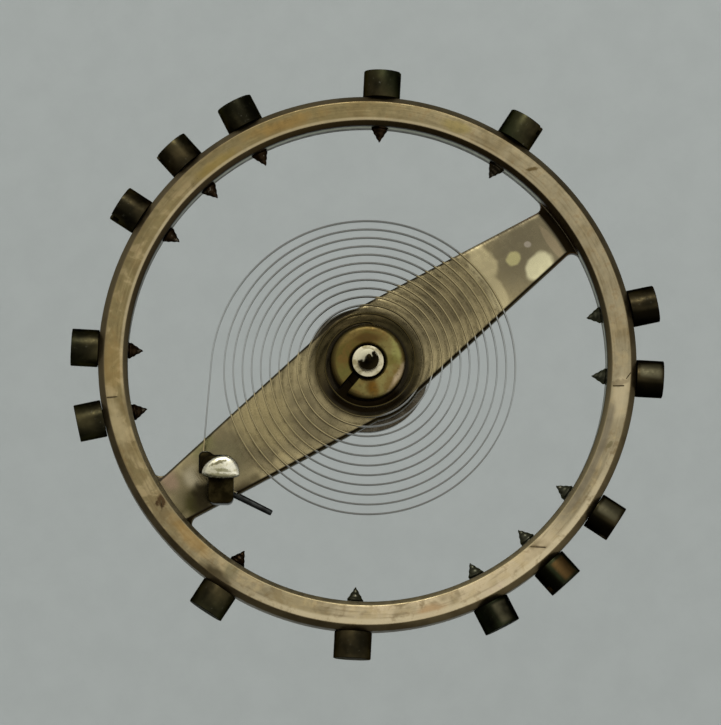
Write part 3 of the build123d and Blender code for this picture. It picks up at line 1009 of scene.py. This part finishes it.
def hole_radius(pin_radius):
    """Radius of a hole that holds the pin and the strip side by side."""
    corner = hypot(strip_shift(pin_radius) + strip_thickness / 2, strip_height / 2)
    return max(corner, pin_radius) + pin_clearance


coil_inner_radius = collet_radius + coil_start_gap
near_pitch = (coil_outer_radius - coil_inner_radius) / full_turns
far_pitch = near_pitch + 2 * coil_drift / full_turns
tail_turn = degrees(acos(
    (collet_hole_offset + strip_shift(collet_pin_radius) - inner_bend_radius)
    / (coil_inner_radius - inner_bend_radius)
))
tail_angle = coil_axis_angle - tail_turn


def collet():
    """Bevelled ring, slit on one side and drilled across."""
    ring = lathe("collet_dressed", soften([
        (collet_bore_radius, collet_low), (collet_radius, collet_low),
        (collet_radius, collet_top - collet_bevel),
        *[(collet_radius - back, collet_top - drop) for back, drop in collet_shoulder],
        (collet_bore_radius + collet_bore_bevel, collet_top),
        (collet_bore_radius, collet_top - collet_bore_bevel),
    ], edge_break), 192)
    middle = polar((collet_radius + overrun) / 2, collet_slit_angle, (collet_low + collet_top) / 2)
    slit = block("slit", middle, (collet_radius + overrun, collet_slit, 2), spin(collet_slit_angle))
    across = polar(1, tail_angle + 90)
    centre = polar(collet_hole_offset, tail_angle, strip_middle)
    drill = tube("drill", centre - across * 2, centre + across * 2, hole_radius(collet_pin_radius))
    carve(ring, [slit, drill])
    settle(ring, "spring_body", "collet_brass", "collet")


def filed_pin(name, radius, end_radius, low, high, flat_low, flat_high, side, place):
    """Round pin along Y, filed flat on one X side between two places along it."""
    segments, rows = 48, 60
    spans = [(low, radius * 0.7), (low + 0.015, radius - 0.008)]
    for row in range(1, rows):
        share = row / rows
        along = low + edge_break + (high - low - 2 * edge_break) * share
        spans.append((along, radius + (end_radius - radius) * share))
    spans += [(high - 0.012, end_radius - 0.008), (high, end_radius * 0.7)]
    sections = []
    turns = [2 * pi * k / segments for k in range(segments)]
    for along, size in spans:
        limit = flat_of_pin(radius) if flat_low < along < flat_high else radius
        ring = [(size * cos(turn), size * sin(turn)) for turn in turns]
        sections.append([(side * min(side * x, limit), along, z) for x, z in ring])
    pin = loft(name, sections)
    pin.data.transform(place)
    return pin


def collet_pin():
    """Pin beside the strip in the collet, flat over its whole length."""
    reach = sqrt(collet_radius ** 2 - (collet_hole_offset + collet_pin_radius) ** 2)
    place = spin(tail_angle) @ Matrix.Translation((collet_hole_offset, 0, strip_middle))
    pin = filed_pin("collet_pin_dressed", collet_pin_radius, collet_pin_radius, -reach, reach,
                    -2 * reach, 2 * reach, 1, place)
    settle(pin, "spring_body", "pin_brass", "collet_pin")


# Stud and its pin

stud_hole_frame = stud_frame @ Matrix.Translation((foot_shift, -stud_hole_reach, strip_middle))
stud_hole_frame = stud_hole_frame @ spin(stud_hole_turn - 90)
foot_crossing = foot_width / cos(radians(stud_hole_turn))


def rounded_box(width, length, radius, steps=8):
    """Rectangle with round corners."""
    points = []
    for sx, sy, start in ((1, 1, 0), (-1, 1, 90), (-1, -1, 180), (1, -1, 270)):
        points += arc((sx * (width / 2 - radius), sy * (length / 2 - radius)), radius, start, 90, steps)
    return points


def lens_outline(scale):
    """Outline of the stud's top, a high arch over a shallow one, shrunk to its middle."""
    upper = [(lens_half_length * cos(a) + lens_lean * sin(a) ** 2, lens_arch * sin(a))
             for a in (pi * k / 32 for k in range(32))]
    lower = [(-lens_half_length * cos(a), -lens_belly * sin(a)) for a in (pi * k / 24 for k in range(24))]
    turn = Matrix.Translation(lens_place) @ spin(lens_turn)
    return [tuple((turn @ lens_middle.lerp(Vector((x, y, 0)), scale)).xy) for x, y in upper + lower]


def stud():
    """Drilled foot under a post with a small lug and a slightly domed top."""
    height = 2 * (hole_radius(stud_pin_radius) + foot_wall)
    length = stud_hole_reach + hole_radius(stud_pin_radius) + foot_wall + foot_back + foot_width / 4
    middle = foot_back - length / 2
    low = strip_middle - height / 2
    top = low + height + post_height
    base = [(x + foot_shift, y + middle) for x, y in rounded_box(foot_width, length, foot_width / 4)]
    foot = plate("foot", base, broken_edges(low, low + height))
    flat = post_length / 2 - post_width / 2
    outline = arc((flat, 0), post_width / 2, -90, 180, 24) + arc((-flat, 0), post_width / 2, 90, 180, 24)
    post = plate("stud_dressed", outline, [(top - drop, gap) for drop, gap in post_layers])
    lug = plate("lug", soften(lug_corners, 0.06), [(top - drop, gap) for drop, gap in lug_layers])
    lens = stack("lens", [(top - drop, lens_outline(scale)) for drop, scale in lens_layers])
    carve(post, [lug], "UNION", "MANIFOLD")
    carve(post, [lens, foot], "UNION")
    post.data.transform(stud_frame)
    start = stud_hole_frame @ Vector((0, -foot_crossing, 0))
    end = stud_hole_frame @ Vector((0, foot_crossing, 0))
    carve(post, [tube("drill", start, end, hole_radius(stud_pin_radius), 64)])
    settle(post, "stud_body", "stud_steel", "stud")


def stud_pin():
    """Tapered pin through the stud, with its thin end standing out."""
    pin = filed_pin("stud_pin_dressed", stud_pin_radius, stud_pin_radius * 0.78, -foot_crossing / 2,
                    foot_crossing / 2 + stud_pin_tail, -foot_crossing, foot_crossing / 2 + 2 * strip_lead,
                    -1, stud_hole_frame)
    settle(pin, "stud_body", "pin_dark", "stud_pin")


# Hairspring

def straight(start, end, steps=8):
    """Points of a straight run, each with the direction to its right."""
    way = (end - start).normalized()
    return [(start.lerp(end, step / steps), Vector((way.y, -way.x, 0))) for step in range(steps + 1)]


def bend(centre, radius, start, turn):
    """Points of an arc to the left, each with the direction to its right."""
    steps = max(4, round(abs(turn) * sqrt(radius) / 4))
    angles = [start + turn * step / steps for step in range(steps + 1)]
    return [(centre + polar(radius, angle), polar(1, angle)) for angle in angles]


def strip_line():
    """The strip's middle line from the collet to the stud, in the same form."""
    start = coil_axis_angle
    first_bend = polar(coil_inner_radius - inner_bend_radius, start)
    inner_end = (polar(collet_hole_offset + strip_shift(collet_pin_radius), tail_angle)
                 - polar(collet_radius / 2, tail_angle + 90))
    line = straight(inner_end, first_bend + polar(inner_bend_radius, tail_angle))
    line += bend(first_bend, inner_bend_radius, tail_angle, tail_turn)
    centre = -near_pitch / 4
    radius = coil_inner_radius + near_pitch / 4
    for half_turn in range(2 * full_turns):
        line += bend(polar(centre, start), radius, start + 180 * half_turn, 180)
        far_side = half_turn % 2 == 0
        step = near_pitch / 2 if far_side else far_pitch / 2
        centre += step if far_side else -step
        radius += step
    shift = strip_shift(stud_pin_radius)
    entry = stud_hole_frame @ Vector((-shift, -foot_crossing / 2 - strip_lead, 0))
    outer_end = stud_hole_frame @ Vector((-shift, foot_crossing / 2 + strip_lead, 0))
    entry.z = outer_end.z = 0
    into_stud = stud_turn + stud_hole_turn
    flare_centre = polar(coil_outer_radius - flare_radius, start)
    last_bend = entry + polar(outer_bend_radius, into_stud + 90)
    apart = last_bend - flare_centre
    lead = degrees(acos((flare_radius - outer_bend_radius) / apart.length))
    off = degrees(atan2(apart.y, apart.x)) - lead
    line += bend(flare_centre, flare_radius, start, off - start)
    line += straight(flare_centre + polar(flare_radius, off), last_bend + polar(outer_bend_radius, off))
    line += bend(last_bend, outer_bend_radius, off, (into_stud - 90 - off) % 360)
    line += straight(entry, outer_end)
    apart_enough = [here for before, here in zip(line, line[1:]) if (here[0] - before[0]).length > 0.002]
    return line[:1] + apart_enough


def hairspring():
    """The strip swept along its line. Lengths along the line are summed but not used."""
    line = strip_line()
    half, tall, edge = strip_thickness / 2, strip_height / 2, 0.009
    profile = [(half, -tall + edge), (half, tall - edge), (half - edge, tall), (edge - half, tall),
               (-half, tall - edge), (-half, edge - tall), (edge - half, -tall), (half - edge, -tall)]
    lengths = [0.0]
    for before, here in zip(line, line[1:]):
        lengths.append(lengths[-1] + (here[0] - before[0]).length)
    sections = []
    for place, right in line:
        spots = [place + right * across for across, up in profile]
        sections.append([(spot.x, spot.y, strip_middle + up) for spot, (across, up) in zip(spots, profile)])
    spring = loft("hairspring_dressed", sections)
    settle(spring, None, "spring_steel", "hairspring")
    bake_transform(spring)


# Floor, light and camera

view_scale = 31.74
view_distance = 160.0
view_tilt = 7.6
view_side = 223.0
view_up = lit_side
picture_width = 721
picture_height = 725
wheel_centre_x = 367.9
wheel_centre_y = 361.4
sensor_width = 36.0
floor_half = 1500.0
floor_drop = 25.0
lamp_elevation = 50.0
lamp_distance = 300.0
lamp_size = 40.0
lamp_strength = 0.465
room = 0.14

# Glows of the room: side, elevation, strength, and how squarely a glow starts and is full
glows = [(0.0, 90.0, 0.76, 0.7, 0.92), (-70.0, 30.0, 0.7, 0.55, 0.9), (99.5, 22.0, 0.45, 0.55, 0.9)]


def camera():
    """Camera over the wheel, tilted a little, at the photograph's scale."""
    back = direction(view_side, 90 - view_tilt)
    upward = polar(1, view_up)
    upward = (upward - back * upward.dot(back)).normalized()
    right = upward.cross(back)
    aim = Vector((0, 0, rim_top))
    aim -= right * ((wheel_centre_x - picture_width / 2) / view_scale)
    aim += upward * ((wheel_centre_y - picture_height / 2) / view_scale)
    data = bpy.data.cameras.new("camera")
    data.sensor_width = sensor_width
    data.lens = view_scale * view_distance * sensor_width / max(picture_width, picture_height)
    data.clip_start = 0.001
    data.clip_end = 10
    thing = link(bpy.data.objects.new("camera", data))
    thing.matrix_world = Matrix.Translation((aim + back * view_distance) * MM) @ Matrix(
        (right, upward, back)).transposed().to_4x4()
    bpy.context.scene.camera = thing


def floor():
    """Plain grey paper under the wheel."""
    corners = [(x * floor_half, y * floor_half, 0) for x, y in ((-1, -1), (1, -1), (1, 1), (-1, 1))]
    paper = new_object("paper_floor", corners, [[0, 1, 2, 3]])
    paper.data.transform(Matrix.Scale(MM, 4))
    paper.location.z = -floor_drop * MM
    g = Graph("grey_paper", metallic=0.0, roughness=0.9, specular_ior_level=0.1)
    fibres = g.noise(700, 5)
    paper.data.materials.append(g.use(base_color=g.mix((fibres, 0.3, 0.7), (157, 162, 159), (160, 165, 162))))


def lamp():
    """Soft square lamp aimed at the wheel."""
    data = bpy.data.lights.new("lamp", "AREA")
    data.shape = "SQUARE"
    data.size = lamp_size * MM
    data.energy = lamp_strength
    thing = link(bpy.data.objects.new("lamp", data))
    way = direction(lit_side, lamp_elevation)
    thing.location = way * lamp_distance * MM
    thing.rotation_mode = "QUATERNION"
    thing.rotation_quaternion = way.to_track_quat("Z", "Y")


def surroundings():
    """Dim room with a pale ceiling and a soft window on two sides."""
    world = bpy.data.worlds.new("surroundings")
    bpy.context.scene.world = world
    world.use_nodes = True
    nodes = Nodes(world.node_tree)
    place = nodes.add("TexCoord").outputs["Generated"]
    total = room
    for side, elevation, strength, edge, full in glows:
        towards = nodes.vector("DOT_PRODUCT", place, direction(side, elevation))
        total = nodes.math("ADD", (towards, edge, full, 0.0, strength), total)
    back = world.node_tree.nodes["Background"]
    nodes.put(back.inputs["Color"], (1, 1, 1, 1))
    nodes.put(back.inputs["Strength"], total)


balance_wheel()
balance_screws()
balance_staff()
rollers()
collet()
collet_pin()
stud()
stud_pin()
hairspring()

bpy.context.scene.view_settings.view_transform = "Standard"
camera()
floor()
lamp()
surroundings()
